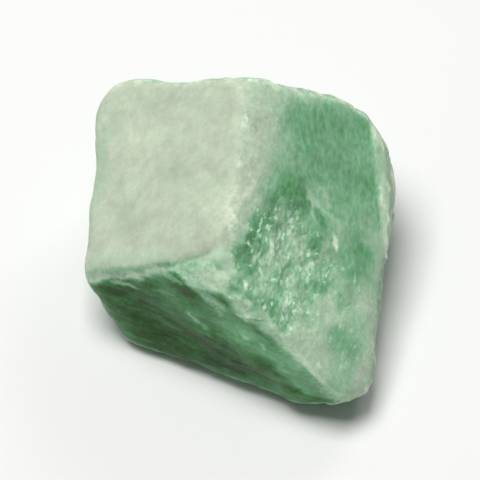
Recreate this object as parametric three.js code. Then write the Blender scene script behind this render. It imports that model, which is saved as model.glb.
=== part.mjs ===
// One piece of raw green aventurine, a quartz rock coloured green by fine mica, as broken in the quarry and
// not polished. Millimetres, +Z up. It rests on a broken face that lies level, and the origin is on that
// face, under the middle of the stone's box.
// The stone is one body: a block of broken faces with worn edges, ledges where the rock's layers have
// snapped, shell-shaped hollows where flakes have come off, and uneven ground between them.

import * as THREE from 'three';
import { ImprovedNoise } from 'three/addons/math/ImprovedNoise.js';
import { mergeVertices } from 'three/addons/utils/BufferGeometryUtils.js';

// A point deep inside the stone. Each face's reach is measured from it.
const HEART = new THREE.Vector3(0, 0, 11);
const FARTHEST = 40; // the whole surface is nearer to the heart than this

// Wear: how far apart two surfaces are where the rounding of the corner between them begins.
const EDGE_WEAR = 1.1;
const HOLLOW_RIM_WEAR = 0.7;
const BASE_WEAR = 1.6;

// How finely the surface is divided
const DETAIL = 21; // the ball that it starts from has 20 * (DETAIL + 1)^2 triangles
const EVENING_ROUNDS = 50;
const BISECTIONS = 26;

// Broken faces. Azimuth and tilt, in degrees, give the way a face looks: azimuth 0 is +X, 90 is +Y, and
// tilt is above the horizon. Reach is from the heart to the face. Hackle is how rough its ground is, from
// 0 for glassy to 1 for torn.
const FACES = [
  { name: 'pale top', azimuth: -168.5, tilt: 51, reach: 10.2, hackle: 0.1 },
  { name: 'green top', azimuth: -31, tilt: 45.5, reach: 9.1, hackle: 0.5 },
  { name: 'front', azimuth: -117, tilt: 5, reach: 10.3, hackle: 0.7 },
  { name: 'crest', azimuth: -28, tilt: 64.5, reach: 11.8, hackle: 0.2 },
  { name: 'front corner', azimuth: -122, tilt: 38, reach: 11.5, hackle: 0.1 },
  { name: 'front lip', azimuth: -135, tilt: 22, reach: 12.1, hackle: 0.2 },
  { name: 'left wall', azimuth: 173.5, tilt: -11.5, reach: 16.0, hackle: 0.6 },
  { name: 'left underside', azimuth: -160, tilt: -29, reach: 16.3, hackle: 0.6 },
  { name: 'front underside', azimuth: -112, tilt: -50, reach: 14.4, hackle: 0.6 },
  { name: 'right wall', azimuth: -3.5, tilt: -12, reach: 16.0, hackle: 0.6 },
  { name: 'right strip', azimuth: -6, tilt: 20, reach: 14.5, hackle: 0.2 },
  { name: 'right underside', azimuth: -70, tilt: -45, reach: 17.9, hackle: 0.6 },
  { name: 'back slope', azimuth: 82, tilt: 28, reach: 16.1, hackle: 0.6 },
  { name: 'back wall', azimuth: 96, tilt: -6, reach: 17.8, hackle: 0.9 },
  { name: 'back right wall', azimuth: 24, tilt: 3, reach: 18.4, hackle: 0.8 },
  { name: 'back right shoulder', azimuth: 60, tilt: 20, reach: 18.0, hackle: 0.4 },
  { name: 'back left wall', azimuth: 135, tilt: 5, reach: 22.2, hackle: 0.7 },
];

// A place on a face is [x, y] in its plane, from the point nearest the heart: x runs level, to the right
// for someone facing it, and y runs up the face.

// Ledges. Each crosses the face through its place, along its heading in degrees from x towards y. On the
// right of the heading the ground is lower by the drop, and it has come back up a ramp's length away.
const LEDGES = [
  { face: 'green top', at: [2.2, -2.5], heading: -96, length: 15, drop: 0.9, ramp: 12 },
  { face: 'green top', at: [-7.5, -8], heading: -60, length: 9, drop: 0.4, ramp: 6 },
  { face: 'front', at: [2, -5], heading: -6, length: 21, drop: 0.9, ramp: 7 },
  { face: 'front', at: [-5, -1], heading: 4, length: 12, drop: 0.5, ramp: 6 },
  { face: 'left wall', at: [-1, -2], heading: 20, length: 16, drop: 0.8, ramp: 8 },
  { face: 'right wall', at: [0, 1], heading: -35, length: 15, drop: 0.8, ramp: 8 },
  { face: 'back slope', at: [1, 3], heading: 14, length: 18, drop: 0.9, ramp: 9 },
  { face: 'back wall', at: [2, 1], heading: 22, length: 20, drop: 1.1, ramp: 8 },
  { face: 'back wall', at: [-5, -5], heading: 10, length: 14, drop: 0.7, ramp: 6 },
  { face: 'back right wall', at: [0, -3], heading: -28, length: 17, drop: 0.9, ramp: 8 },
];
const LEDGE_RISER = 1.7; // how wide the steep part is
const LEDGE_END = 5; // how far a ledge takes to fade out at each end
const LEDGE_WANDER = 1.6; // how far it strays from its straight line
const WANDER_LENGTH = 5;

// Shell-shaped hollows, each bitten out of a face by a ball.
const HOLLOWS = [
  { face: 'left wall', at: [-6.5, 3], radius: 8, depth: 0.9 },
  { face: 'front underside', at: [0.5, 2], radius: 6, depth: 0.8 },
  { face: 'green top', at: [-5, -3], radius: 7, depth: 0.4 },
  { face: 'pale top', at: [0.6, 5.4], radius: 9, depth: 0.2 },
  { face: 'back slope', at: [6, -3], radius: 8, depth: 1.2 },
  { face: 'back right wall', at: [6, 4], radius: 7, depth: 1.1 },
  { face: 'back left wall', at: [0, -4], radius: 10, depth: 1.0 },
  { face: 'right wall', at: [-6, -4], radius: 6, depth: 0.8 },
];

// Uneven ground all over: how high and how long each swell is.
const SWELLS = [
  { height: 0.3, length: 9 },
  { height: 0.1, length: 4 },
];

// Hackle, the rock's own grain: low ridges with sharp crests that run along its layers.
const HACKLE_HEIGHT = 0.9;
const HACKLE_LENGTH = 6; // along a layer
const LAYER_THICKNESS = 2.2;
const LAYER_AZIMUTH = -118; // the way the layers look
const LAYER_TILT = 16;

const noise = new ImprovedNoise();

function direction(azimuth, tilt) {
  const a = THREE.MathUtils.degToRad(azimuth);
  const t = THREE.MathUtils.degToRad(tilt);
  return new THREE.Vector3(Math.cos(t) * Math.cos(a), Math.cos(t) * Math.sin(a), Math.sin(t));
}

// The two directions in a face's plane: level to the right, and up.
function faceAxes(azimuth, tilt) {
  const normal = direction(azimuth, tilt);
  const level = direction(azimuth + 90, 0);
  return { normal, level, up: normal.clone().cross(level) };
}

const smoothRise = (value, start, end) => THREE.MathUtils.smoothstep(value, start, end);

// The larger of two heights, with the corner between them rounded.
function wornMax(a, b, wear) {
  const overlap = Math.max(wear - Math.abs(a - b), 0);
  return Math.max(a, b) + (overlap * overlap) / (4 * wear);
}

const faces = FACES.map((face) => ({
  ...face,
  ...faceAxes(face.azimuth, face.tilt),
  ledges: LEDGES.filter((ledge) => ledge.face === face.name),
}));

const hollows = HOLLOWS.map(({ face, at: [x, y], radius, depth }) => {
  const { normal, level, up, reach } = faces.find(({ name }) => name === face);
  const centre = HEART.clone().addScaledVector(normal, reach + radius - depth);
  return { centre: centre.addScaledVector(level, x).addScaledVector(up, y), radius };
});

const layer = faceAxes(LAYER_AZIMUTH, LAYER_TILT);

function swell({ x, y, z }) {
  let sum = 0;
  for (const { height, length } of SWELLS) {
    sum += height * noise.noise(x / length, y / length, z / length);
  }
  return sum;
}

function hackle(point) {
  const across = point.dot(layer.normal) / LAYER_THICKNESS;
  const along = point.dot(layer.level) / HACKLE_LENGTH;
  const up = point.dot(layer.up) / HACKLE_LENGTH;
  return HACKLE_HEIGHT * Math.abs(noise.noise(across, along, up));
}

// How far a face's ground lies below its plane because of one ledge. The wander is its stray to one side.
function ledgeDepth({ at, heading, length, drop, ramp }, x, y, wander) {
  const turn = THREE.MathUtils.degToRad(heading);
  const along = (x - at[0]) * Math.cos(turn) + (y - at[1]) * Math.sin(turn);
  const right = (x - at[0]) * Math.sin(turn) - (y - at[1]) * Math.cos(turn) + wander;
  if (right <= 0 || right >= ramp) return 0;
  const ends = 1 - smoothRise(Math.abs(along), length / 2 - LEDGE_END, length / 2);
  return drop * ends * smoothRise(right, 0, LEDGE_RISER) * (1 - right / ramp);
}

// How high a point is above a face's ground.
function aboveFace(face, fromHeart, rough, wander) {
  const x = fromHeart.dot(face.level);
  const y = fromHeart.dot(face.up);
  let above = fromHeart.dot(face.normal) - face.reach + face.hackle * rough;
  for (const ledge of face.ledges) above += ledgeDepth(ledge, x, y, wander);
  return above;
}

// Below zero inside the stone, above zero outside.
function aboveStone(point) {
  const fromHeart = point.clone().sub(HEART);
  const rough = hackle(point);
  const { x, y, z } = point;
  const wander = LEDGE_WANDER * noise.noise(x / WANDER_LENGTH, y / WANDER_LENGTH, z / WANDER_LENGTH);
  let above = -Infinity;
  for (const face of faces) {
    above = wornMax(above, aboveFace(face, fromHeart, rough, wander), EDGE_WEAR);
  }
  for (const { centre, radius } of hollows) {
    above = wornMax(above, radius - centre.distanceTo(point), HOLLOW_RIM_WEAR);
  }
  return wornMax(above + swell(point), -z, BASE_WEAR);
}

// The point where a ray from the heart leaves the stone.
function surfaceAlong(ray) {
  let inside = 0;
  let outside = FARTHEST;
  const point = new THREE.Vector3();
  for (let i = 0; i < BISECTIONS; i += 1) {
    const middle = (inside + outside) / 2;
    point.copy(HEART).addScaledVector(ray, middle);
    if (aboveStone(point) < 0) inside = middle;
    else outside = middle;
  }
  return point;
}

function neighboursOf(index, count) {
  const neighbours = Array.from({ length: count }, () => new Set());
  for (let i = 0; i < index.length; i += 3) {
    const corners = [index[i], index[i + 1], index[i + 2]];
    for (const a of corners) {
      for (const b of corners) {
        if (a !== b) neighbours[a].add(b);
      }
    }
  }
  return neighbours;
}

// Where a vertex goes to even out the triangles round it: half of the way to the middle of its neighbours,
// in which each counts by its distance.
function evenedPlace(place, near, points) {
  const middle = new THREE.Vector3();
  let total = 0;
  for (const n of near) {
    const pull = place.distanceTo(points[n]);
    middle.addScaledVector(points[n], pull);
    total += pull;
  }
  return middle.divideScalar(total).lerp(place, 0.5);
}

// A ball's vertices go out onto the stone along rays from its heart. Then each moves amid its neighbours
// and out onto the stone again, until the triangles are even.
function stoneGeometry() {
  const ball = new THREE.IcosahedronGeometry(1, DETAIL);
  ball.deleteAttribute('normal');
  ball.deleteAttribute('uv');
  const geometry = mergeVertices(ball);
  const { position } = geometry.attributes;
  const neighbours = neighboursOf(geometry.index.array, position.count);
  let points = neighbours.map((_, i) => surfaceAlong(new THREE.Vector3().fromBufferAttribute(position, i)));
  for (let round = 0; round < EVENING_ROUNDS; round += 1) {
    points = neighbours.map((near, i) => {
      const place = evenedPlace(points[i], near, points);
      return surfaceAlong(place.sub(HEART).normalize());
    });
  }
  points.forEach(({ x, y, z }, i) => position.setXYZ(i, x, y, z));
  return geometry;
}

// Moves the stone so that the origin is under the middle of its box, on what it rests on.
function standOnOrigin(geometry) {
  geometry.computeBoundingBox();
  const { min, max } = geometry.boundingBox;
  geometry.translate(-(min.x + max.x) / 2, -(min.y + max.y) / 2, -min.z);
  geometry.computeVertexNormals();
  return geometry;
}

function greenQuartz() {
  return new THREE.MeshStandardMaterial({ color: 0x8db79a, roughness: 0.45, metalness: 0 });
}

const stone = new THREE.Mesh(standOnOrigin(stoneGeometry()), greenQuartz());
stone.name = 'aventurine_stone';

const part = new THREE.Group();
part.add(stone);

export default part;
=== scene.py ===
import math
import bmesh
import bpy
import numpy as np
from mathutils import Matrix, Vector, noise


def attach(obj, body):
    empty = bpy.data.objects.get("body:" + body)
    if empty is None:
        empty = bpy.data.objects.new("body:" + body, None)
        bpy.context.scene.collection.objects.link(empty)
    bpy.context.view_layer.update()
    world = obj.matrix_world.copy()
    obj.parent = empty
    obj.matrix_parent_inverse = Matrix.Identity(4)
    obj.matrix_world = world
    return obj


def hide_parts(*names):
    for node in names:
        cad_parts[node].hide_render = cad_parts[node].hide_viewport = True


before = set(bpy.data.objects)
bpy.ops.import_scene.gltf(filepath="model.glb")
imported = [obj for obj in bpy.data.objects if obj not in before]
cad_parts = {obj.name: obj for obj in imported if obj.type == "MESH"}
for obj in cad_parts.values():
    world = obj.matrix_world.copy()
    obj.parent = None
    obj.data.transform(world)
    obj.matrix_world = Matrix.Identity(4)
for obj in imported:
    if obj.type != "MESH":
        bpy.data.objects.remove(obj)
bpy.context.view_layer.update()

# The stone is shaped in millimetres, in the frame's axes, and goes back to metres at the end.
MM = 0.001

# The stone's heart and its main faces, as the solid has them. Azimuth and tilt, in degrees, give the way a
# face looks: azimuth 0 is +X, 90 is +Y, and tilt is above the horizon. Reach is from the heart.
HEART = np.array([0.0, -0.9, 11.0])
PALE_TOP = {"azimuth": -168.5, "tilt": 51, "reach": 10.2}
GREEN_TOP = {"azimuth": -31, "tilt": 45.5, "reach": 9.1}
FRONT = {"azimuth": -117, "tilt": 5, "reach": 10.3}
FRONT_CORNER = {"azimuth": -122, "tilt": 38, "reach": 11.5}
RIGHT_STRIP = {"azimuth": -6, "tilt": 20, "reach": 14.5}
# The way the ridge between the two tops looks
RIDGE = {"azimuth": -126, "tilt": 76}
# The way the rock's layers look
LAYERS = {"azimuth": -118, "tilt": 16}

# How alike two directions are, as the cosine between them, when a point begins to belong to a face and when
# it does wholly. Facing is for most faces, and the others are for wider or narrower bounds.
FACING = (0.80, 0.92)
FACING_PALE_TOP = (0.76, 0.88)
FACING_CREST = (0.6, 0.8)
FACING_CORNER = (0.8, 0.88)
FACING_CRACK = (0.85, 0.95)
FACING_AN_EDGE = (0.15, 0.45)

# The fine surface. It is worked on in small squares, and then made lighter where it is flat.
VOXEL = 0.15
SMOOTHING_ROUNDS = 28
LIKENESS = 0.12  # how far apart two normals may be and still belong to one facet
FACET_ROUNDS = (50, 34)  # rounds of chiselling for the normals and for the points, before the relief
RELIEF_FACET_ROUNDS = (8, 12)  # and after it
NORMAL_SOFTENING = 34
MOST_TRIANGLES = 190_000

# The camera looks down on the stone's heart as the photograph does, from far away through a long lens.
CAMERA_ELEVATION = 55
CAMERA_DISTANCE = 500
VIEW_WIDTH = 50
SENSOR_WIDTH = 36


def direction(azimuth, tilt):
    a = math.radians(azimuth)
    t = math.radians(tilt)
    return np.array([math.cos(t) * math.cos(a), math.cos(t) * math.sin(a), math.sin(t)])


def face_axes(face):
    """A face's normal, and the two directions in its plane: level to the right, and up."""
    normal = direction(face["azimuth"], face["tilt"])
    level = direction(face["azimuth"] + 90, 0)
    return normal, level, np.cross(normal, level)


def turned(axes, heading):
    """A face's axes as along, across and into, where along runs at a heading in degrees from level to up."""
    normal, level, up = axes
    turn = math.radians(heading)
    return (
        level * math.cos(turn) + up * math.sin(turn),
        up * math.cos(turn) - level * math.sin(turn),
        normal,
    )


def place_on(face, points):
    """Each point's x and y on a face, x level to the right of the point nearest the heart and y up."""
    level, up = face_axes(face)[1:]
    return (points - HEART) @ level, (points - HEART) @ up


def smoothstep(values, start, end):
    t = np.clip((values - start) / (end - start), 0, 1)
    return t * t * (3 - 2 * t)


def between(pair, share):
    """The value at a share of the way from the first of a pair to the second."""
    return pair[0] + (pair[1] - pair[0]) * share


def on_line(line, places):
    """What a line gives at each place. It is a list of points, each a place and a value."""
    return np.interp(places, *np.array(line).T)


# How the textures run. Lengths are in millimetres and in the order of the axes.
WORLD_AXES = np.eye(3)
LAYER_AXES = face_axes(LAYERS)
# The streaks that the snapped layers leave on the front, and the short flecks in them: along, up and into it
SHEET_AXES = turned(face_axes(FRONT), 0)
SHEET_LENGTHS = (6.0, 0.75, 2.5)
FLECK_LENGTHS = (1.8, 0.6, 1.2)
# The fine grain on the green top and the strokes of its torn ground: along, across and into them
GRAIN_AXES = turned(face_axes(GREEN_TOP), 40)
GRAIN_LENGTHS = (0.8, 0.5, 0.6)
STROKE_AXES = turned(face_axes(GREEN_TOP), 18)
STROKE_LENGTHS = (0.66, 0.31, 0.38)


# The mesh


def merged_mesh(source):
    """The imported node's mesh in millimetres, with the vertices that its file split joined again."""
    mesh = source.data.copy()
    b = bmesh.new()
    b.from_mesh(mesh)
    bmesh.ops.remove_doubles(b, verts=b.verts, dist=1e-7)
    bmesh.ops.scale(b, vec=(1 / MM,) * 3, verts=b.verts)
    b.to_mesh(mesh)
    b.free()
    return mesh


def modified(mesh, kind, **settings):
    """A new mesh, which is what a modifier makes of this one."""
    block = bpy.data.objects.new("block", mesh)
    bpy.context.scene.collection.objects.link(block)
    modifier = block.modifiers.new("modifier", kind)
    for name, value in settings.items():
        setattr(modifier, name, value)
    seen = block.evaluated_get(bpy.context.evaluated_depsgraph_get())
    result = bpy.data.meshes.new_from_object(seen)
    bpy.data.objects.remove(block)
    return result


def points_of(mesh):
    points = np.empty(len(mesh.vertices) * 3)
    mesh.vertices.foreach_get("co", points)
    return points.reshape(-1, 3)


def edges_of(mesh):
    edges = np.empty(len(mesh.edges) * 2, dtype=np.int64)
    mesh.edges.foreach_get("vertices", edges)
    return edges.reshape(-1, 2)


def normals_of(mesh, points):
    mesh.vertices.foreach_set("co", points.ravel())
    mesh.update()
    normals = np.empty(len(points) * 3)
    mesh.vertex_normals.foreach_get("vector", normals)
    return normals.reshape(-1, 3)


def corners_of(mesh):
    """The four corners of each square, with the last repeated where a face has three."""
    starts = np.empty(len(mesh.polygons), dtype=np.int64)
    sizes = np.empty(len(mesh.polygons), dtype=np.int64)
    loops = np.empty(len(mesh.loops), dtype=np.int64)
    mesh.polygons.foreach_get("loop_start", starts)
    mesh.polygons.foreach_get("loop_total", sizes)
    mesh.loops.foreach_get("vertex_index", loops)
    return np.stack([loops[starts + np.minimum(k, sizes - 1)] for k in range(4)], 1)


def spread_to_neighbours(values, edges, rounds):
    """Each value becomes the mean of its neighbours' values, again and again."""
    count = len(values)
    near = np.bincount(edges.ravel(), minlength=count).reshape(-1, 1)
    a, b = edges.T
    for _ in range(rounds):
        total = np.empty_like(values)
        for k in range(values.shape[1]):
            total[:, k] = np.bincount(a, values[b, k], count) + np.bincount(b, values[a, k], count)
        values = total / near
    return values


def unit(vectors):
    return vectors / np.maximum(np.linalg.norm(vectors, axis=1), 1e-12)[:, None]


def face_normals(points, corners):
    a, b, c, d = (points[corners[:, k]] for k in range(4))
    return unit(np.cross(c - a, d - b))


def faces_beside(corners):
    """Pairs of faces that share an edge."""
    ends = np.stack([corners, np.roll(corners, -1, 1)], 2).reshape(-1, 2)
    owner = np.repeat(np.arange(len(corners)), 4)
    real = ends[:, 0] != ends[:, 1]
    ends = np.sort(ends[real], 1)
    owner = owner[real]
    order = np.lexsort((ends[:, 1], ends[:, 0]))
    ends = ends[order]
    owner = owner[order]
    same = (ends[1:] == ends[:-1]).all(1)
    return np.stack([owner[:-1][same], owner[1:][same]], 1)


def summed(index, values, count):
    return np.stack([np.bincount(index, values[:, k], count) for k in range(values.shape[1])], 1)


def settled_normals(normals, corners, rounds):
    """The faces' normals, after each has taken on those of its neighbours that look almost its way."""
    a, b = faces_beside(corners).T
    for _ in range(rounds):
        apart = ((normals[a] - normals[b]) ** 2).sum(1)
        weight = np.exp(-apart / (2 * LIKENESS ** 2))[:, None]
        total = summed(a, weight * normals[b], len(normals))
        total = total + summed(b, weight * normals[a], len(normals))
        normals = unit(normals + total)
    return normals


def chiselled(points, corners, rounds):
    """Turns soft bends into flat facets with crisp edges: the normals settle, and the points follow."""
    normal_rounds, point_rounds = rounds
    normals = settled_normals(face_normals(points, corners), corners, normal_rounds)
    flat = corners.ravel()
    near = np.bincount(flat, minlength=len(points))[:, None]
    for _ in range(point_rounds):
        centres = points[corners].mean(1)
        lift = ((centres[:, None] - points[corners]) * normals[:, None]).sum(2)
        move = (lift[..., None] * normals[:, None]).reshape(-1, 3)
        points = points + summed(flat, move, len(points)) / near
    return points


def raised(points, edges, normals, rounds):
    """How far each point stands out from the surface that rounds of softening leave."""
    soft = spread_to_neighbours(points, edges, rounds)
    return np.einsum("ij,ij->i", points - soft, normals)


# Random values. A seed only shifts the points, so that two textures differ.


def bumps(points, size, seed=0.0):
    """A smooth random value at each point, about -1 to 1, that rises and falls over this size."""
    return np.array([noise.noise(Vector(p)) for p in (points + seed) / size])


def waves(points, height, size, seed=0.0):
    """Bumps that go about this high and this low."""
    return height * bumps(points, size, seed)


def stretched(points, axes, lengths):
    """The points in a space where a grain of these lengths, along these axes, is one unit each way."""
    return np.stack([points @ axis / length for axis, length in zip(axes, lengths)], 1)


def in_sheets(points):
    """The points in a space where one of the streaks on the front is one unit each way."""
    return stretched(points, SHEET_AXES, SHEET_LENGTHS)


def wandered(points, far, size, seeds):
    """The points, each moved by about this far at most. Points nearer than this size move much alike."""
    return points + far * np.stack([bumps(points, size, seed) for seed in seeds], 1)


# How far the bounds of the regions wander, and over what size, first widely and then finely
REGION_WANDERS = ((1.1, 3.0), (0.5, 1.0))
REGION_SEEDS = (3.0, 17.0, 31.0)
MARK_WANDER = (0.35, 0.7)
MARK_SEEDS = (5.0, 19.0, 37.0)


def strayed(points):
    """The points with the wander of a natural boundary."""
    for far, size in REGION_WANDERS:
        points = wandered(points, far, size, REGION_SEEDS)
    return points


def flakes(places, lean, seed):
    """Scoops that lean this way and that and meet in sharp ridges, about 0 to 1 high."""
    heights = np.empty(len(places))
    for i, place in enumerate(places + seed):
        here = Vector(place)
        distances, centres = noise.voronoi(here)
        heights[i] = min(
            d * d + lean * (2 * noise.cell_vector(7 * c) - Vector((1, 1, 1))).dot(here - c)
            for d, c in zip(distances, centres)
        )
    return heights


# The regions of the surface


def looks_like(normals, face, bounds=FACING):
    """How much each normal looks the way that a face does, from 0 to 1."""
    return smoothstep(normals @ face_axes(face)[0], *bounds)


def above_plane(points, face):
    """How far each point is above a face's plane, in millimetres."""
    return (points - HEART) @ face_axes(face)[0] - face["reach"]


# On the green top, by x and y on its face. A list is a line, and a pair is where a region begins and where
# it is whole, both in millimetres.
CREST_END = [(-6, 4.3), (-0.4, 4.9), (4, 5.7), (7.3, 7.8), (11, 8.9)]  # y where the pale crest ends, by x
CREST_SOFTNESS = [(-6, 1.1), (14, 3.9)]  # half the width of that end's fade, by x
DARK_DEPTH = [(-12, 0.6), (5, 4)]  # how far the dark ground reaches under the crest's end, by x
DARK_SOFTNESS = (-0.8, 0.8)
DARK_LEFT_END = (-10, -8)
DARK_RIGHT_END = (1, 4)
LEDGE = [(-30, 6.45), (-3, -0.3), (20, 2)]  # x of the ledge that the plateau lies to the right of, by y
LEDGE_WIDTH = (0.6, 2.8)
LOW_GROUND = (5.5, 9.5)  # how far down the face the calmer ground at the foot begins
LOW_GLINTS = 0.4  # how much that ground glints, where the torn ground above it is 1


def regions_of_green_top(places, normals):
    x, y = place_on(GREEN_TOP, places)
    green = looks_like(normals, GREEN_TOP)
    above_crest_end = y - on_line(CREST_END, x)
    softness = on_line(CREST_SOFTNESS, x)
    crest = looks_like(normals, GREEN_TOP, FACING_CREST) * smoothstep(above_crest_end, -softness, softness)
    plateau = smoothstep(x - on_line(LEDGE, y), *LEDGE_WIDTH)
    low = smoothstep(-y, *LOW_GROUND)
    # The dark ground under the crest's end is painted shade, on the hollow's wall there that turns from the
    # light
    dark = smoothstep(above_crest_end + on_line(DARK_DEPTH, x), *DARK_SOFTNESS)
    dark *= smoothstep(x, *DARK_LEFT_END) * (1 - smoothstep(x, *DARK_RIGHT_END))
    return {
        "green top": green,
        "hackle": green * (1 - plateau) * (1 - low) * (1 - crest),
        "low green": green * (1 - plateau) * low,
        "plateau": green * plateau,
        "under crest": green * dark,
        "crest": crest,
    }


# On the front, in the same way
LIP_DEPTH = [(-30, 3.39), (30, -1.41)]  # how far under the pale top's plane the pale lip ends, by x
LIP_FADE = (-0.45, 0.35)
LIP_FRAYS = (0.35, 1.0)  # how far its end frays, and over what size in streaks
LIP_WAVES = (0.5, 1.7)  # how far its end waves, and over what size
LIP_FOOT = (0.25, 0.6)  # how far above its end the lip's light foot stops
GREEN_EDGE = (-2.2, -0.3)  # how far from the green top's plane the lighter edge begins
GREEN_EDGE_START = (4, 9)  # x from where the patches below the edge keep off it
GREEN_EDGE_KEPT = 0.7  # and how much they keep off
CHIP_FOOT = [(-30, 21.05), (30, -16.15)]  # y where the snapped corner ends, by x
CHIP_FADE = (-0.55, 0.55)
CHIP_FRAYS = 0.8
CHIP_RIGHT_END = (3.0, 4.0)
WORN_EDGE_START = (5, 8)


def regions_of_front(points, places, normals, ragged):
    x, y = place_on(FRONT, points)
    front = looks_like(normals, FRONT)
    stray = waves(in_sheets(points), *LIP_FRAYS) + waves(points, *LIP_WAVES)
    above_lip_foot = on_line(LIP_DEPTH, x) + stray + above_plane(points, PALE_TOP)
    lip = smoothstep(above_lip_foot, *LIP_FADE)
    corner = looks_like(normals, FRONT_CORNER, FACING_CORNER)
    corner *= smoothstep(y - on_line(CHIP_FOOT, x) + CHIP_FRAYS * ragged, *CHIP_FADE)
    corner *= 1 - smoothstep(x, *CHIP_RIGHT_END)
    edge = smoothstep(above_plane(places, GREEN_TOP), *GREEN_EDGE)
    kept = GREEN_EDGE_KEPT * edge * smoothstep(x, *GREEN_EDGE_START)
    below = front * (1 - lip) * (1 - corner) * (1 - kept)
    worn = looks_like(normals, FRONT, FACING_AN_EDGE) * looks_like(normals, GREEN_TOP, FACING_AN_EDGE)
    return {
        "front": front,
        "front below": below,
        "lip": lip,
        "lip foot": lip * (1 - smoothstep(above_lip_foot, *LIP_FOOT)),
        "edge": front * edge,
        "corner": corner,
        "worn edge": worn * smoothstep(x, *WORN_EDGE_START),
    }


# On the narrow strip along the right edge
STRIP_START = (-0.75, -0.4)  # how far from the strip's plane it begins
STRIP_FRAYS = 0.03
STRIP_UPTURN = (0.0, 0.2)  # how far a normal has to look up
STRIP_MIDDLE = ((0.5, 0.75), (1.7, 1.4))  # how far below the green top the darker middle begins and ends
STRIP_WAVES = (0.3, 0.8)  # how far those bounds wave, and over what size

RAGGED_SIZE = 0.8  # the size of the teeth in a frayed bound, in streaks


def regions_of_strip(points, normals, ragged):
    strip = smoothstep(above_plane(points, RIGHT_STRIP) + STRIP_FRAYS * ragged, *STRIP_START)
    strip *= smoothstep(normals[:, 2], *STRIP_UPTURN)
    into_strip = waves(points, *STRIP_WAVES) - above_plane(points, GREEN_TOP)
    start, end = STRIP_MIDDLE
    middle = strip * smoothstep(into_strip, *start) * smoothstep(into_strip, *end)
    return {"strip": strip, "strip middle": middle}


def regions_of(points, places, normals):
    """How much each point belongs to each region of the stone's surface, from 0 to 1. The places are the
    points with the wander of a natural boundary."""
    ragged = bumps(in_sheets(points), RAGGED_SIZE)
    regions = {
        "walls": np.ones(len(points)),
        "ridge": looks_like(normals, RIDGE),
        "pale top": looks_like(normals, PALE_TOP, FACING_PALE_TOP),
        **regions_of_front(points, places, normals, ragged),
        **regions_of_green_top(places, normals),
        **regions_of_strip(points, normals, ragged),
    }
    regions["sheets"] = regions["front"] * (1 - regions["pale top"])
    regions["glints"] = np.maximum(regions["hackle"], LOW_GLINTS * regions["low green"])
    return regions


# What the rock is like in each region, where a later one covers an earlier one: how torn its ground is,
# from 0 for glassy to 1, its colour, from 0 for cream through green to 1 for nearly black, and its tone.
REGIONS = {
    "walls": (0.75, 0.48, 1.0),
    # The front's deep green is partly its own colour and partly painted shade
    "front": (0.8, 0.84, 0.95),
    "lip": (0.3, 0.44, 0.96),
    "lip foot": (0.3, 0.2, 1.2),
    "edge": (0.6, 0.36, 1.25),
    "corner": (0.12, 0.27, 1.33),
    "ridge": (0.1, 0.1, 0.92),
    "pale top": (0.03, 0.05, 0.93),
    "worn edge": (0.5, 0.28, 1.2),
    "hackle": (1.0, 0.5, 1.08),
    "low green": (0.42, 0.40, 1.05),
    "plateau": (0.12, 0.55, 1.08),
    # Painted shade on the hollow's wall under the crest
    "under crest": (0.7, 0.63, 1.15),
    "crest": (0.42, 0.15, 0.9),
    "strip": (0.5, 0.14, 1.55),
    "strip middle": (0.5, 0.4, 1.1),
}


def rock_in(regions):
    """How torn the ground is at each point, its colour level and its tone, as in REGIONS."""
    rock = np.zeros((3, len(regions["walls"])))
    for name, look in REGIONS.items():
        rock += regions[name] * (np.array(look)[:, None] - rock)
    return rock


# The relief. Heights are in millimetres.

# Each kind of flake: the axes and lengths of its scoops, how much they lean, and its seed
FLAKES = {
    "scars": (LAYER_AXES, (1.8, 3.6, 3.6), 0.8, 3.0),
    "chips": (WORLD_AXES, (1.2, 1.2, 1.2), 0.8, 21.0),
    "strokes": (STROKE_AXES, (1.3, 0.7, 0.9), 0.9, 9.0),
    "sheets": (SHEET_AXES, (5.0, 1.1, 2.0), 0.9, 15.0),
}
STROKE_STRAY = 0.2  # the strokes' share of the wander of the regions
# How high each kind of flake stands on each kind of ground
WALL_FLAKES = {"scars": 0.42, "chips": 0.16}
HACKLE_FLAKES = {"strokes": 0.12, "chips": 0.14, "scars": 0.2}
FRONT_FLAKES = {"sheets": 0.24, "scars": 0.3, "chips": 0.12}
LAYER_THICKNESS = 1.3
LAYER_HEIGHT = 0.22
LAYER_WAVES = (0.9, 5.0)  # how far the layers wave, by their thickness, and over what size
LAYER_RISE = (0.7, 1.0)  # the part of a layer where its step comes up again
SNAPPED_PATCHES = (6.0, 40.0)  # the size and the seed of the patches where layers snapped off
SNAPPED_FADE = (-0.2, 0.3)
LUMPS = (0.06, 3.0, 11.0)  # height, size and seed
CHIP_STEP = 0.14
CHIP_STEP_START = (0.3, 0.6)  # how far under the pale top's plane the step goes down
CHIP_STEP_END = (1.0, 3)  # and how far under it the step runs out
CHIP_STEP_WAVES = (0.25, 1.5)
GRAIN_HEIGHT = (0.006, 0.046)  # on glassy ground and on torn ground
GRAIN_SIZE = 0.55
PIT_DEPTH = (0.04, 0.14)
PIT_SIZE = 0.9
PIT_SEED = 5.0
PIT_RIM = 0.3  # a pit is where the bumps of this size and seed are higher than this


def flake_heights(points, places):
    """The height of each kind of flake at each point."""
    heights = {}
    for name, (axes, lengths, lean, seed) in FLAKES.items():
        starts = points + STROKE_STRAY * (places - points) if name == "strokes" else points
        heights[name] = flakes(stretched(starts, axes, lengths), lean, seed)
    return heights


def combined(heights, kinds):
    """The relief of one kind of ground, out of so much of each kind of flake."""
    return sum(height * heights[name] for name, height in kinds.items())


def snapped_layers(points):
    """Low steps where the layers snapped off, in patches, about -1 to 0."""
    layers = points @ LAYER_AXES[0] / LAYER_THICKNESS + waves(points, *LAYER_WAVES)
    part = layers - np.floor(layers)
    steps = smoothstep(part, *LAYER_RISE) - part
    return smoothstep(bumps(points, *SNAPPED_PATCHES), *SNAPPED_FADE) * steps


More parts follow.
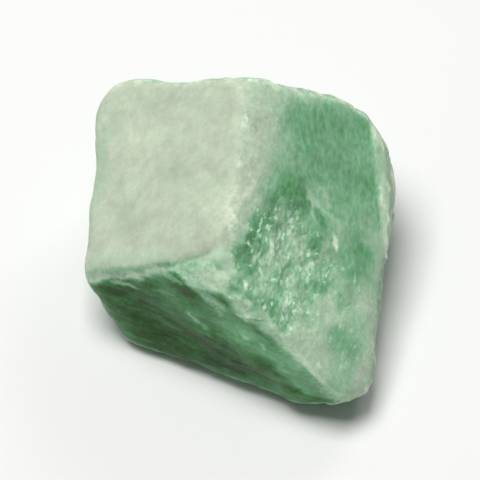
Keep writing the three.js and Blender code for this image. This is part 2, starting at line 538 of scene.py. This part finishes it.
def coarse_relief(points, places, torn, regions):
    """Flake scars and snapped layers, before they are chiselled flat."""
    heights = flake_heights(points, places)
    walls = combined(heights, WALL_FLAKES) + LAYER_HEIGHT * snapped_layers(points)
    relief = walls + regions["front"] * (combined(heights, FRONT_FLAKES) - walls)
    hackle = np.maximum(regions["hackle"], regions["low green"])
    relief += hackle * (combined(heights, HACKLE_FLAKES) - relief)
    return torn * relief + waves(points, *LUMPS) - chipped_step(points, regions)


def chipped_step(points, regions):
    """How deep the chip on the front corner lies under the pale top's edge."""
    below_top = waves(points, *CHIP_STEP_WAVES) - above_plane(points, PALE_TOP)
    deep = smoothstep(below_top, *CHIP_STEP_START) * (1 - smoothstep(below_top, *CHIP_STEP_END))
    return CHIP_STEP * regions["corner"] * deep


def fine_relief(points, torn):
    """The rock's grain."""
    pits = np.clip(bumps(points, PIT_SIZE, PIT_SEED) - PIT_RIM, 0, 1)
    return between(GRAIN_HEIGHT, torn) * bumps(points, GRAIN_SIZE) - between(PIT_DEPTH, torn) * pits


# The painting


# Patches of colour, painted one over another. Each is an oval: the region it keeps to, the face it lies on
# and its place there, its half lengths along its heading and across it, its heading in degrees from x
# towards y, its colour and tone as in REGIONS, and how strong it is.
PATCHES = [
    ("pale top", PALE_TOP, (-10.5, -8.6), (6, 1.4), -26, (0.24, 0.97), 0.9),
    ("pale top", PALE_TOP, (2.4, -7.5), (8, 1.2), 62, (0.2, 1.06), 0.8),
    ("pale top", PALE_TOP, (0.6, 4.6), (1.8, 1.4), 0, (0.16, 0.93), 0.7),
    ("pale top", PALE_TOP, (-3.2, 1.0), (2.5, 1.5), 30, (0.1, 0.89), 0.8),
    ("pale top", PALE_TOP, (-10, -3), (5, 2.2), -10, (0.04, 0.98), 0.8),
    ("pale top", PALE_TOP, (-9.8, -3.5), (1.9, 1.2), 0, (0.04, 1.06), 0.8),
    ("pale top", PALE_TOP, (-3.6, -6.6), (4, 2.2), 10, (0.08, 0.86), 0.8),
    ("pale top", PALE_TOP, (1.5, 3.2), (2, 1.5), 0, (0.08, 0.87), 0.7),
    ("pale top", PALE_TOP, (2.9, 5.5), (1.2, 0.9), 0, (0.08, 1.0), 0.7),
    ("pale top", PALE_TOP, (6.4, 3.3), (1.0, 0.8), 0, (0.06, 1.02), 0.7),
    ("pale top", PALE_TOP, (-13, 4), (6, 1.8), 70, (0.08, 0.89), 0.7),
    ("crest", GREEN_TOP, (8.5, 9.5), (2.5, 1.2), 20, (0.32, 1.0), 0.8),
    ("crest", GREEN_TOP, (1.5, 6.6), (2.5, 0.8), 20, (0.3, 1.0), 0.8),
    ("crest", GREEN_TOP, (-4, 5.6), (3.5, 1.2), 20, (0.22, 1.02), 0.8),
    ("crest", GREEN_TOP, (2, 7.9), (3, 1.2), 40, (0.1, 1.05), 0.7),
    ("crest", GREEN_TOP, (4.2, 7.3), (2.6, 0.9), 35, (0.3, 1.1), 0.6),
    ("ridge", GREEN_TOP, (-3.0, 7.0), (3.4, 1.2), 10, (0.08, 1.08), 0.8),
    ("plateau", GREEN_TOP, (10, 2), (5, 6), 30, (0.61, 1.02), 0.9),
    ("plateau", GREEN_TOP, (13, -3), (2, 5), 20, (0.5, 1.08), 0.6),
    ("plateau", GREEN_TOP, (8, -5), (5, 4), 60, (0.52, 1.1), 0.6),
    ("plateau", GREEN_TOP, (3, 2), (2, 3), 90, (0.75, 1.05), 0.8),
    ("plateau", GREEN_TOP, (5, 0.7), (1.6, 0.9), 40, (0.42, 1.12), 0.7),
    ("green top", GREEN_TOP, (7.1, 5.7), (1.2, 0.8), 40, (0.64, 1.02), 0.5),
    ("hackle", GREEN_TOP, (-3.6, -2.6), (3.6, 2.4), 0, (0.4, 1.35), 0.8),
    ("hackle", GREEN_TOP, (-6.6, -0.8), (2.0, 1.8), 0, (0.38, 1.28), 0.8),
    ("hackle", GREEN_TOP, (-4.6, -2.6), (2.0, 1.2), 10, (0.62, 1.15), 0.8),
    ("hackle", GREEN_TOP, (-0.6, -4.2), (1.6, 1.0), 0, (0.58, 1.05), 0.7),
    ("hackle", GREEN_TOP, (-5.4, -1.6), (1.3, 0.8), 20, (0.6, 1.1), 0.7),
    ("hackle", GREEN_TOP, (-3.4, 1.6), (2.2, 0.9), 10, (0.62, 1.05), 0.6),
    ("green top", GREEN_TOP, (1.8, -8.4), (1.8, 1.2), 40, (0.66, 1.02), 0.6),
    ("green top", GREEN_TOP, (-10.4, -0.9), (2.4, 0.9), 90, (0.16, 1.2), 0.8),
    ("green top", GREEN_TOP, (1.0, -2.8), (2.2, 1.4), 40, (0.72, 1.05), 0.8),
    ("green top", GREEN_TOP, (1.4, -5.7), (1.6, 1.0), 40, (0.58, 1.08), 0.6),
    ("green top", GREEN_TOP, (-4.6, 3.2), (2.2, 1.1), 15, (0.78, 1.08), 0.8),
    ("green top", GREEN_TOP, (-8.6, 2.2), (1.8, 1.1), 20, (0.75, 1.1), 0.8),
    ("green top", GREEN_TOP, (3.2, -8.2), (3.6, 1.9), 40, (0.66, 1.05), 0.9),
    ("green top", GREEN_TOP, (-1.0, -11.0), (2.6, 1.0), 40, (0.46, 1.05), 0.6),
    ("low green", GREEN_TOP, (-3.4, -8.3), (2.2, 1.8), 0, (0.2, 1.1), 0.9),
    ("green top", GREEN_TOP, (-8.1, -7.4), (1.8, 1.3), 20, (0.2, 1.2), 0.8),
    ("low green", GREEN_TOP, (-8.2, -10), (2, 4.5), 0, (0.28, 1.0), 0.9),
    ("low green", GREEN_TOP, (-4.2, -12.2), (1.5, 2.6), 0, (0.6, 1.1), 0.9),
    ("green top", GREEN_TOP, (0.3, -13.8), (8, 1.3), 32, (0.22, 0.93), 0.8),
    ("green top", GREEN_TOP, (-5.5, -16.2), (2.5, 1), 0, (0.15, 0.9), 0.8),
    # Painted shade over the front, darkest towards its bottom
    ("front below", FRONT, (-8, -3), (9, 5), -10, (0.93, 0.75), 0.9),
    ("front below", FRONT, (1, -6.5), (9, 3), -8, (1.0, 0.6), 0.9),
    ("front below", FRONT, (0, -7), (2.2, 1.2), -8, (0.85, 0.9), 0.7),
    ("front below", FRONT, (-3.6, -5.2), (2.6, 1.0), -10, (0.84, 1.05), 0.7),
    ("front below", FRONT, (5.5, -0.6), (4.5, 2.2), -25, (0.68, 1.3), 0.8),
    ("front below", FRONT, (10, -2.6), (7.5, 1.8), -19, (0.7, 1.4), 0.9),
    ("front below", FRONT, (12.8, -4.8), (3.6, 1.9), -22, (0.66, 1.38), 0.9),
    ("front", FRONT, (5.3, 2.7), (2.6, 1.1), -22, (0.34, 1.5), 0.9),
    ("front", FRONT, (1.1, 2.2), (1.7, 0.7), -15, (0.42, 1.3), 0.8),
    ("front", FRONT, (4.5, 3.9), (1.6, 0.8), -30, (0.3, 1.45), 0.9),
    ("front", FRONT, (13.2, -4.0), (3.0, 1.6), -30, (0.64, 1.08), 0.8),
]

# Small crisp marks, in the same way, some of them painted highlights and painted shade: by the ledge on the
# green top, along the rim of its crest, on the chip and on the front
MARKS = [
    # Painted highlights along the ledge's edge
    ("green top", GREEN_TOP, (4.3, 0.3), (1.6, 0.6), 76, (0.32, 1.1), 0.9),
    ("green top", GREEN_TOP, (5.7, -0.9), (1.5, 0.25), 75, (0.36, 1.12), 0.8),
    ("green top", GREEN_TOP, (4.6, -3.1), (2.0, 0.3), 98, (0.36, 1.12), 0.8),
    # A painted glint
    ("green top", GREEN_TOP, (2.9, -4.7), (0.9, 0.33), 57, (0.05, 1.4), 0.9),
    # Painted shade on the side of the ledge that turns from the light
    ("green top", GREEN_TOP, (2.8, 3.8), (0.8, 0.6), 40, (0.72, 0.97), 0.8),
    ("green top", GREEN_TOP, (3.2, 1.5), (1.6, 0.6), 40, (0.72, 0.97), 0.8),
    ("green top", GREEN_TOP, (3.3, 0.1), (0.8, 0.4), 40, (0.75, 0.98), 0.8),
    ("green top", GREEN_TOP, (3.5, -1.6), (1.3, 0.6), 75, (0.78, 1.0), 0.7),
    ("green top", GREEN_TOP, (0.6, 2.5), (1.6, 0.7), 15, (0.5, 1.15), 0.8),
    ("crest", GREEN_TOP, (-3.8, 6.6), (4.6, 0.4), 1, (0.04, 1.14), 0.8),
    # Painted shade where the crack meets the chip
    ("pale top", PALE_TOP, (8.2, 2.4), (1.6, 0.5), 60, (0.34, 0.85), 0.6),
    ("corner", PALE_TOP, (8.2, 2.6), (1.5, 0.6), 60, (0.38, 0.9), 0.7),
    # A painted highlight on the chip
    ("corner", FRONT, (2.4, 6.0), (0.9, 0.5), 10, (0.12, 1.4), 0.7),
    ("corner", FRONT, (-0.6, 4.6), (1.5, 0.3), -12, (0.42, 1.15), 0.6),
    ("corner", FRONT, (1.4, 4.3), (1.2, 0.25), -8, (0.16, 1.4), 0.7),
    ("front below", FRONT, (-8.3, -1.3), (2.0, 0.42), 12, (0.36, 1.2), 0.8),
    ("front below", FRONT, (-2.7, 3.1), (1.3, 0.4), -10, (0.38, 1.2), 0.7),
    ("front below", FRONT, (-3.6, 0.2), (1.6, 0.3), 10, (0.55, 1.1), 0.7),
    ("front below", FRONT, (-0.3, -1.8), (0.9, 0.4), -25, (0.4, 1.2), 0.8),
    ("front below", FRONT, (1.0, -2.6), (0.7, 0.35), -25, (0.6, 1.2), 0.8),
    ("front below", FRONT, (5.9, -1.1), (0.6, 0.35), -25, (0.35, 1.3), 0.8),
    ("front below", FRONT, (8.0, -1.6), (0.6, 0.35), -40, (0.35, 1.3), 0.8),
]

# The brightest glints of the torn ground, painted highlights which are marks too: the place of each on the
# green top, and its heading
GLINTS = [
    ((-0.1, 0.0), 0),
    ((-1.5, 0.9), 20),
    ((-3.1, 0.9), 30),
    ((-5.0, 1.4), 10),
    ((-4.2, -0.2), 20),
    ((-8.7, 0.3), 21),
    ((-1.0, -4.3), 2),
    ((-6.2, -4.3), 20),
]
GLINT_SIZE = (0.75, 0.27)
GLINT_LOOK = (0.06, 1.4)
MARKS += [("hackle", GREEN_TOP, place, GLINT_SIZE, heading, GLINT_LOOK, 0.85) for place, heading in GLINTS]


# How far out from its middle a patch or a mark is whole and where it ends, where 1 is its oval's bound
PATCH_FADE = (0.35, 1.35)
MARK_FADE = (0.7, 1.15)

# The clouds in the green: how much each changes the colour, its size and its seed, and the colours that
# they begin to show in and show in wholly
CLOUDS = [(0.3, 7.0, 0.0), (0.2, 2.5, 9.0)]
CLOUDED = (0.05, 0.45)

# Painted shade in the thin crack between the pale top and the snapped corner
CRACK_DEPTH = 0.72  # under the pale top's plane
CRACK_WIDTH = 0.13
CRACK_FROM_GREEN_TOP = (1.6, 2.6)  # how far under the green top's plane it begins
CRACK_START = (-8, -4)  # x on the front
CRACK_COLOUR = 0.42
CRACK_STRENGTH = 0.8
CRACK_SHADE = 0.25


def patched(rock, patch, places, regions, fade):
    """The colour level and the tone with one patch painted over them."""
    level, tone = rock
    region, face, (middle_x, middle_y), (length, width), heading, (colour, light), strength = patch
    x, y = place_on(face, places)
    turn = math.radians(heading)
    along = (x - middle_x) * math.cos(turn) + (y - middle_y) * math.sin(turn)
    across = (y - middle_y) * math.cos(turn) - (x - middle_x) * math.sin(turn)
    distance = np.hypot(along / length, across / width)
    covered = strength * regions[region] * (1 - smoothstep(distance, *fade))
    return level + covered * (colour - level), tone + covered * (light - tone)


def crack_shaded(rock, points, normals):
    """Painted shade in the thin crack between the pale top and the chip on the front corner."""
    level, tone = rock
    chip = looks_like(normals, FRONT_CORNER, FACING_CRACK)
    chip *= smoothstep(-above_plane(points, GREEN_TOP), *CRACK_FROM_GREEN_TOP)
    chip *= smoothstep(place_on(FRONT, points)[0], *CRACK_START)
    off_middle = (above_plane(points, PALE_TOP) + CRACK_DEPTH) / CRACK_WIDTH
    crack = CRACK_STRENGTH * chip * np.exp(-(off_middle ** 2))
    return level + crack * (CRACK_COLOUR - level), tone * (1 - CRACK_SHADE * crack)


def painted(rock, points, places, normals, regions):
    """The colour level and the tone with the clouds, the patches, the marks and the painted shade of the
    crack.
    """
    level, tone = rock
    cloud = sum(waves(points, *look) for look in CLOUDS)
    rock = (level + cloud * smoothstep(level, *CLOUDED), tone)
    for patch in PATCHES:
        rock = patched(rock, patch, places, regions, PATCH_FADE)
    frayed = wandered(points, *MARK_WANDER, MARK_SEEDS)
    for mark in MARKS:
        rock = patched(rock, mark, frayed, regions, MARK_FADE)
    return crack_shaded(rock, points, normals)


# The stone

# What the mesh tells the material at each point
ATTRIBUTES = ("level", "tone", "torn", "sheets", "glints", "fine_edge", "wide_edge")
# Rounds of softening that leave the surface which the fine and the wide edges stand out from
FINE_EDGE_ROUNDS = 20
WIDE_EDGE_ROUNDS = 100
# The share of each kind of edge that is left out in regions with light marks of their own
FINE_EDGE_LOSSES = {"glints": 0.6, "sheets": 0.6, "worn edge": 0.75, "ridge": 0.35}
WIDE_EDGE_LOSSES = {"worn edge": 0.6}


def worn_edges(points, edges, normals, soft_normals, regions):
    """How far each point stands out, in millimetres, from the surface just beside it and from the surface
    farther around it. What stands out is where the rock is crushed and worn, with painted highlights on the
    finest edges, and what sinks in gets painted shade."""
    fine = raised(points, edges, normals, FINE_EDGE_ROUNDS)
    wide = raised(points, edges, soft_normals, WIDE_EDGE_ROUNDS)
    return lessened(fine, FINE_EDGE_LOSSES, regions), lessened(wide, WIDE_EDGE_LOSSES, regions)


def lessened(values, losses, regions):
    """The values, without the share of them that is lost in each of some regions."""
    for name, loss in losses.items():
        values = values * (1 - loss * regions[name])
    return values


def store(mesh, points, values):
    """Puts the points, back in metres, and the values that the material reads into the mesh."""
    mesh.vertices.foreach_set("co", (points * MM).ravel())
    mesh.polygons.foreach_set("use_smooth", [True] * len(mesh.polygons))
    for name, value in values.items():
        mesh.attributes.new(name, "FLOAT", "POINT").data.foreach_set("value", value.astype(np.float32))
    mesh.update()


def make_stone(node):
    """The stone in its finished shape, as one object: the solid's own shape, broken into facets."""
    mesh = modified(merged_mesh(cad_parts[node]), "REMESH", mode="VOXEL", voxel_size=VOXEL)
    edges = edges_of(mesh)
    corners = corners_of(mesh)
    points = spread_to_neighbours(points_of(mesh), edges, SMOOTHING_ROUNDS)
    points = chiselled(points, corners, FACET_ROUNDS)
    soft_normals = normals_of(mesh, spread_to_neighbours(points, edges, NORMAL_SOFTENING))
    places = strayed(points)
    regions = regions_of(points, places, soft_normals)
    torn, *rock = rock_in(regions)
    level, tone = painted(rock, points, places, soft_normals, regions)
    points = points + normals_of(mesh, points) * coarse_relief(points, places, torn, regions)[:, None]
    points = chiselled(points, corners, RELIEF_FACET_ROUNDS)
    normals = normals_of(mesh, points)
    fine_edge, wide_edge = worn_edges(points, edges, normals, soft_normals, regions)
    points = points + normals * fine_relief(points, torn)[:, None]
    points[:, 2] = np.maximum(points[:, 2], 0)
    values = (level, tone, torn, regions["sheets"], regions["glints"], fine_edge, wide_edge)
    store(mesh, points, dict(zip(ATTRIBUTES, values)))
    return lightened(mesh)


def lightened(mesh):
    """The stone as an object, with fewer triangles where its surface is flat."""
    triangles = sum(len(face.vertices) - 2 for face in mesh.polygons)
    light = modified(mesh, "DECIMATE", ratio=MOST_TRIANGLES / triangles)
    light.name = "rough_stone"
    stone = bpy.data.objects.new("rough_stone", light)
    bpy.context.scene.collection.objects.link(stone)
    return stone


# The stone's finish


class Nodes:
    """Adds nodes to a shader. A socket or a plain value can go into any input."""

    def __init__(self, tree):
        self.tree = tree

    def add(self, kind, **settings):
        node = self.tree.nodes.new(kind)
        for name, value in settings.items():
            setattr(node, name, value)
        return node

    def feed(self, socket, value):
        if isinstance(value, bpy.types.NodeSocket):
            self.tree.links.new(value, socket)
        else:
            socket.default_value = value

    def math(self, operation, a, b):
        node = self.add("ShaderNodeMath", operation=operation)
        self.feed(node.inputs[0], a)
        self.feed(node.inputs[1], b)
        return node.outputs[0]

    def plus(self, a, b):
        return self.math("ADD", a, b)

    def minus(self, a, b):
        return self.math("SUBTRACT", a, b)

    def greatest(self, a, b):
        return self.math("MAXIMUM", a, b)

    def times(self, first, *others):
        product = first
        for other in others:
            product = self.math("MULTIPLY", product, other)
        return product

    def vector(self, operation, a, b):
        node = self.add("ShaderNodeVectorMath", operation=operation)
        self.feed(node.inputs[0], a)
        self.feed(node.inputs[1], b)
        return node.outputs["Value" if operation == "DOT_PRODUCT" else "Vector"]

    def spread(self, value, bounds, results=(0.0, 1.0)):
        """The value taken softly from between its bounds to between the results, and no further."""
        node = self.add("ShaderNodeMapRange", interpolation_type="SMOOTHSTEP")
        names = ("Value", "From Min", "From Max", "To Min", "To Max")
        for name, number in zip(names, (value, *bounds, *results)):
            self.feed(node.inputs[name], number)
        return node.outputs["Result"]

    def noise(self, place, size, detail=2.0, roughness=0.5, output="Fac"):
        node = self.add("ShaderNodeTexNoise")
        self.feed(node.inputs["Vector"], place)
        node.inputs["Scale"].default_value = 1 / size
        node.inputs["Detail"].default_value = detail
        node.inputs["Roughness"].default_value = roughness
        return node.outputs[output]

    def strayed(self, place, size, far):
        """The place with a wander of this size, this far at most."""
        stray = self.vector("SUBTRACT", self.noise(place, size, output="Color"), (0.5, 0.5, 0.5))
        return self.vector("ADD", place, self.vector("MULTIPLY", stray, (4 * far,) * 3))

    def facets(self, place):
        """Small flat facets one unit wide: a random value for each, and the height of its own lean."""
        node = self.add("ShaderNodeTexVoronoi")
        self.feed(node.inputs["Vector"], place)
        node.inputs["Scale"].default_value = 1.0
        offset = self.vector("SUBTRACT", place, node.outputs["Position"])
        tilt = self.vector("SUBTRACT", node.outputs["Color"], (0.5, 0.5, 0.5))
        value = self.add("ShaderNodeSeparateColor")
        self.feed(value.inputs[0], node.outputs["Color"])
        return value.outputs[0], self.vector("DOT_PRODUCT", offset, tilt)

    def attribute(self, name):
        return self.add("ShaderNodeAttribute", attribute_name=name).outputs["Fac"]

    def stretched(self, place, axes, lengths):
        """The place in a space where a grain of these lengths, along these axes, is one unit each way."""
        node = self.add("ShaderNodeCombineXYZ")
        for socket, axis, length in zip(node.inputs, axes, lengths):
            self.feed(socket, self.vector("DOT_PRODUCT", place, tuple(axis / length)))
        return node.outputs["Vector"]

    def grey(self, value):
        node = self.add("ShaderNodeCombineXYZ")
        for socket in node.inputs:
            self.feed(socket, value)
        return node.outputs["Vector"]

    def ramp(self, factor, stops):
        node = self.add("ShaderNodeValToRGB")
        elements = node.color_ramp.elements
        while len(elements) < len(stops):
            elements.new(0.5)
        for element, (place, colour) in zip(elements, stops):
            element.position = place
            element.color = (*colour, 1)
        self.feed(node.inputs["Fac"], factor)
        return node.outputs["Color"]

    def mix(self, factor, a, b, blend="MIX"):
        node = self.add("ShaderNodeMix", data_type="RGBA", blend_type=blend)
        self.feed(node.inputs[0], factor)
        self.feed(node.inputs[6], a if isinstance(a, bpy.types.NodeSocket) else (*a, 1))
        self.feed(node.inputs[7], b if isinstance(b, bpy.types.NodeSocket) else (*b, 1))
        return node.outputs[2]


# The rock's colours by their level, from 0 for cream through green to 1 for nearly black
ROCK_COLOURS = [
    (0.0, (0.50, 0.555, 0.43)),
    (0.2, (0.42, 0.54, 0.40)),
    (0.4, (0.29, 0.47, 0.312)),
    (0.6, (0.16, 0.36, 0.202)),
    (0.8, (0.077, 0.25, 0.09)),
    (0.92, (0.042, 0.165, 0.038)),
    (1.0, (0.03, 0.10, 0.02)),
]
# Crushed rock on sharp edges, which also carries a painted highlight there, and the painted glints of the
# torn ground
BRUISE_AND_GLINT = (0.58, 0.81, 0.59)  # crushed rock on sharp edges, and the glints of the torn ground
# Painted shade, at the bottom of hollows and on the dark facets of the torn ground
SHADE = (0.05, 0.15, 0.06)  # the bottom of hollows
LIGHTEST_TORN = 0.27  # the lightest colour between the glints of the torn ground, as in REGIONS

# The even textures of the colour: size in millimetres, detail and roughness
EVEN_TEXTURES = {
    "wide": (4.0, 3, 0.6),
    "cloud": (1.6, 4, 0.65),
    "speck": (0.45, 3, 0.6),
}
# The textures with a grain: its axes, its lengths in millimetres, detail and roughness
GRAINED_TEXTURES = {
    "streak": (LAYER_AXES, (0.8, 3.6, 3.6), 4, 0.65),
    "sheet": (SHEET_AXES, SHEET_LENGTHS, 3, 0.6),
    "fleck": (SHEET_AXES, FLECK_LENGTHS, 2, 0.5),
    "grain": (GRAIN_AXES, GRAIN_LENGTHS, 2, 0.6),
}
# How the strokes of the torn ground wander: over what size, and how far
STROKE_WANDER = (0.7, 0.16)
# How much each texture changes the colour, and on what kind of ground
COLOUR_CHANGES = [
    ("cloud", 0.2, "any"),
    ("speck", 0.2, "any"),
    ("streak", 0.35, "layered"),
    ("sheet", 0.4, "sheets"),
    ("fleck", 0.3, "sheets"),
    ("grain", 0.6, "glassy"),
    ("stroke", 0.35, "layered"),
]
# The least and the most that each texture changes the tone by
TONE_CHANGES = {
    "wide": (0.94, 1.06),
    "cloud": (0.89, 1.1),
    "speck": (0.95, 1.04),
}

# How far the surface stands out, in millimetres, where each of these begins and where it is whole
BRUISED_AND_HIGHLIT = (0.015, 0.1)
HOLLOW = (-0.015, -0.1)
FADED = (0.08, 0.45)
WORN = (0.1, 0.35)
# What they do where they are whole: how much paler the colour gets, as in ROCK_COLOURS, how much of SHADE, a
# painted shade, covers a hollow or a dark facet, and how much lighter the tone of a worn edge is
FADED_PALENESS = 0.35
HOLLOW_SHADE = 0.45
DARK_FACET_SHADE = 0.25
WORN_TONE = 1.18
# Where the rock is crushed and carries a painted highlight on its edges, or has painted glints, how much
# paler it is, and how much of the bruise and glint colour covers it, on pale rock and on green
MARK_PALENESS = 0.3
MARK_COVER = (0.42, 0.65)
# Which of the random facets of the torn ground get painted glints, and which get painted shade
LIGHT_FACETS = (0.78, 0.84)
DARK_FACETS = (0.14, 0.08)

FACET_LEAN = 0.09  # how high a leaning facet of the torn ground stands, in millimetres
ROUGH_SIZE = 0.22  # the size of the finest roughness, and its height on glassy ground and on torn ground
ROUGH_HEIGHT = (0.008, 0.034)
QUARTZ_IOR = 1.54


def rock_textures(n, place):
    """Each texture by its name, from 0 to 1, and how high the leaning facets of the torn ground stand."""
    textures = {name: n.noise(place, *look) for name, look in EVEN_TEXTURES.items()}
    for name, (axes, lengths, detail, roughness) in GRAINED_TEXTURES.items():
        textures[name] = n.noise(n.stretched(place, axes, lengths), 1.0, detail, roughness)
    strokes = n.stretched(n.strayed(place, *STROKE_WANDER), STROKE_AXES, STROKE_LENGTHS)
    textures["stroke"], lean = n.facets(strokes)
    return textures, lean


def textured_level(n, here, textures):
    """The colour level with its textures, each on its own kind of ground."""
    level = here["level"]
    grounds = {
        "any": 1.0,
        "layered": n.minus(here["torn"], here["sheets"]),
        "sheets": here["sheets"],
        "glassy": n.times(n.minus(1.0, here["torn"]), n.spread(level, (0.2, 0.5))),
    }
    mottled = n.greatest(n.spread(level, (0.0, 0.5), (0.25, 1.0)), n.spread(here["torn"], (0.0, 0.5)))
    for name, amount, ground in COLOUR_CHANGES:
        change = n.times(n.minus(textures[name], 0.5), amount)
        level = n.plus(level, n.times(mottled, grounds[ground], change))
    return n.greatest(level, n.times(here["glints"], LIGHTEST_TORN))


def marked_places(n, here, textures):
    """Where the rock is crushed on its edges, with a painted highlight along them, and where painted glints
    go on its torn ground, from 0 to 1.
    """
    # Crushed rock on raised edges, which also paints a highlight along them
    edge_bruise_and_highlight = n.times(
        n.spread(here["fine_edge"], BRUISED_AND_HIGHLIT),
        n.spread(textures["speck"], (0.35, 0.65), (0.3, 0.9)),
    )
    # Painted glints on the light facets of the torn ground
    painted_glints = n.times(
        here["glints"],
        n.spread(textures["stroke"], LIGHT_FACETS),
        n.spread(textures["cloud"], (0.45, 0.6), (0.1, 1.0)),
    )
    return n.greatest(edge_bruise_and_highlight, painted_glints)


def rock_colour(n, level, greener, here, textures):
    """The colour, faded on worn edges, lighter where the rock is crushed and where painted highlights and
    glints go, and darker with painted shade in its hollows and on dark facets.
    """
    faded = n.spread(here["wide_edge"], FADED, (0.0, FADED_PALENESS))
    level = n.minus(level, n.times(greener, faded))
    marked = marked_places(n, here, textures)
    colour = n.ramp(n.minus(level, n.times(marked, MARK_PALENESS)), ROCK_COLOURS)
    cover = n.times(marked, n.spread(greener, (0.0, 1.0), MARK_COVER))
    colour = n.mix(cover, colour, BRUISE_AND_GLINT)
    # Painted shade in the hollows and on the dark facets of the torn ground
    hollow = n.spread(here["fine_edge"], HOLLOW, (0.0, HOLLOW_SHADE))
    dark = n.spread(textures["stroke"], DARK_FACETS, (0.0, DARK_FACET_SHADE))
    return n.mix(n.greatest(hollow, n.times(here["glints"], dark)), colour, SHADE)


def rock_tone(n, here, textures):
    """How light the colour is, by the stone's own tone, the textures and the wear of its edges."""
    sparkle = n.times(here["torn"], n.minus(textures["speck"], 0.5))
    tone = n.times(here["tone"], n.spread(sparkle, (-0.1, 0.1), (0.94, 1.06)))
    for name, change in TONE_CHANGES.items():
        tone = n.times(tone, n.spread(textures[name], (0.25, 0.75), change))
    worn = n.times(n.spread(here["wide_edge"], WORN), n.spread(textures["cloud"], (0.4, 0.58), (0.25, 1.0)))
    return n.times(tone, n.spread(worn, (0.0, 1.0), (1.0, WORN_TONE)))


def rock_bump(n, place, here, lean):
    """The finest roughness and the lean of the torn facets, as a bend of the surface's normal."""
    rough_height = n.spread(here["torn"], (0.0, 0.4), ROUGH_HEIGHT)
    rough = n.times(n.noise(place, ROUGH_SIZE, 3, 0.6), rough_height)
    bump = n.add("ShaderNodeBump")
    bump.inputs["Strength"].default_value = 1.0
    bump.inputs["Distance"].default_value = MM
    n.feed(bump.inputs["Height"], n.plus(rough, n.times(lean, here["torn"], FACET_LEAN)))
    return bump.outputs["Normal"]


def rock_material():
    material = bpy.data.materials.new("green_quartz")
    material.use_nodes = True
    n = Nodes(material.node_tree)
    n.tree.nodes.clear()
    place = n.vector("MULTIPLY", n.add("ShaderNodeTexCoord").outputs["Object"], (1 / MM,) * 3)
    here = {name: n.attribute(name) for name in ATTRIBUTES}
    textures, lean = rock_textures(n, place)
    level = textured_level(n, here, textures)
    greener = n.spread(level, (0.15, 0.6))
    colour = rock_colour(n, level, greener, here, textures)
    polished = n.minus(greener, n.times(here["torn"], 0.55))

    shader = n.add("ShaderNodeBsdfPrincipled")
    n.feed(shader.inputs["Base Color"], n.mix(1.0, colour, n.grey(rock_tone(n, here, textures)), "MULTIPLY"))
    n.feed(shader.inputs["Roughness"], n.spread(polished, (0.0, 0.8), (0.7, 0.36)))
    n.feed(shader.inputs["Normal"], rock_bump(n, place, here, lean))
    shader.inputs["IOR"].default_value = QUARTZ_IOR
    shader.inputs["Specular IOR Level"].default_value = 0.22
    shader.inputs["Subsurface Weight"].default_value = 0.1
    shader.inputs["Subsurface Radius"].default_value = (0.7, 1.0, 0.7)
    shader.inputs["Subsurface Scale"].default_value = 1.0 * MM
    output = n.add("ShaderNodeOutputMaterial")
    n.feed(output.inputs["Surface"], shader.outputs["BSDF"])
    return material


# Stage, camera and lights. Places and sizes on the stage are in metres.

FLOOR_SIZE = 3
FLOOR_COLOUR = (0.74, 0.74, 0.73, 1)
LIT_POINT = (0, 0, 0.01)
LIGHTS = [
    {"name": "key", "azimuth": 180, "tilt": 80, "distance": 0.6, "size": 0.3, "power": 4.0},
    {"name": "side", "azimuth": 60, "tilt": 35, "distance": 0.6, "size": 0.25, "power": 0.7},
]
ROOM_LIGHT = 0.16


def make_floor():
    bpy.ops.mesh.primitive_plane_add(size=FLOOR_SIZE)
    floor = bpy.context.object
    floor.name = "floor"
    material = bpy.data.materials.new("floor")
    material.use_nodes = True
    shader = material.node_tree.nodes["Principled BSDF"]
    shader.inputs["Base Color"].default_value = FLOOR_COLOUR
    shader.inputs["Roughness"].default_value = 0.9
    floor.data.materials.append(material)


def aim(thing, target):
    thing.rotation_euler = (Vector(target) - thing.location).to_track_quat("-Z", "Y").to_euler()


def make_camera():
    camera = bpy.data.objects.new("camera", bpy.data.cameras.new("camera"))
    camera.data.sensor_width = SENSOR_WIDTH
    camera.data.lens = SENSOR_WIDTH * CAMERA_DISTANCE / VIEW_WIDTH
    target = Vector(HEART) * MM
    camera.location = target + Vector(direction(-90, CAMERA_ELEVATION)) * CAMERA_DISTANCE * MM
    aim(camera, target)
    bpy.context.scene.collection.objects.link(camera)
    bpy.context.scene.camera = camera


def make_light(name, azimuth, tilt, distance, size, power):
    light = bpy.data.objects.new(name, bpy.data.lights.new(name, "AREA"))
    light.data.size = size
    light.data.energy = power
    light.location = direction(azimuth, tilt) * distance
    aim(light, LIT_POINT)
    bpy.context.scene.collection.objects.link(light)


def light_the_stage():
    for light in LIGHTS:
        make_light(**light)
    world = bpy.data.worlds.new("room")
    world.use_nodes = True
    world.node_tree.nodes["Background"].inputs["Color"].default_value = (1, 1, 1, 1)
    world.node_tree.nodes["Background"].inputs["Strength"].default_value = ROOM_LIGHT
    bpy.context.scene.world = world
    bpy.context.scene.view_settings.view_transform = "Standard"


make_camera()
stone = make_stone("aventurine_stone")
stone.data.materials.clear()
stone.data.materials.append(rock_material())
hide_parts("aventurine_stone")
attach(stone, "root")
make_floor()
light_the_stage()
